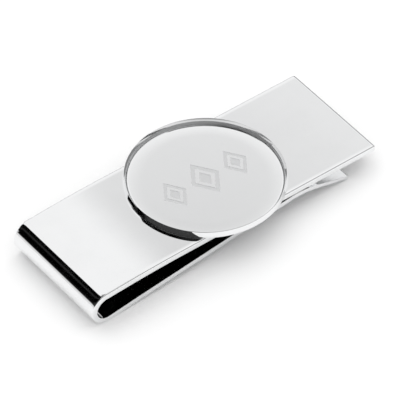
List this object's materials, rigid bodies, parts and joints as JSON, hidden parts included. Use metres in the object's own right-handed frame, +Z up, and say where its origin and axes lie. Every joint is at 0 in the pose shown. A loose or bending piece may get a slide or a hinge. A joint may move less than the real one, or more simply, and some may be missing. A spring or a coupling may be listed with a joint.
{
  "type": "money clip",
  "caption": "Slim mirror-polished money clip: a spring strip bent double with a flared leg, and a round rimmed disc with an engraved lozenge ornament on its plate.",
  "frame": {"origin": "bottom centre of the bounding box, on the surface that the clip stands on", "axes": "+X from the bend to the open end, +Y across the clip, +Z up; the plate dips 2.6 degrees towards its open end as the clip stands on its bend and its tip"},
  "size_m": [0.0516, 0.024, 0.0064],
  "materials": {
    "polished_strip": "mirror polished, with fine hairline scratches",
    "polished_bezel": "mirror polished",
    "engraved_face": "mirror polished, with a frosted engraving",
    "solder": "dull soft solder, hidden between the plate and the disc"
  },
  "bodies": {
    "leg": {"spring_leg": "polished_strip"},
    "plate": {"top_plate": "polished_strip", "bezel_ring": "polished_bezel", "face_disc": "engraved_face", "solder_layer": "solder"}
  },
  "joints": [
    {"name": "bend_flex", "type": "hinge", "parent": "leg", "child": "plate", "pos_m": [-0.02583, 0, 0.00287], "axis": [0, -1, 0], "range_deg": [0, 6], "stiffness_Nm_per_rad": 10.5, "springref_deg": -1.15}
  ]
}
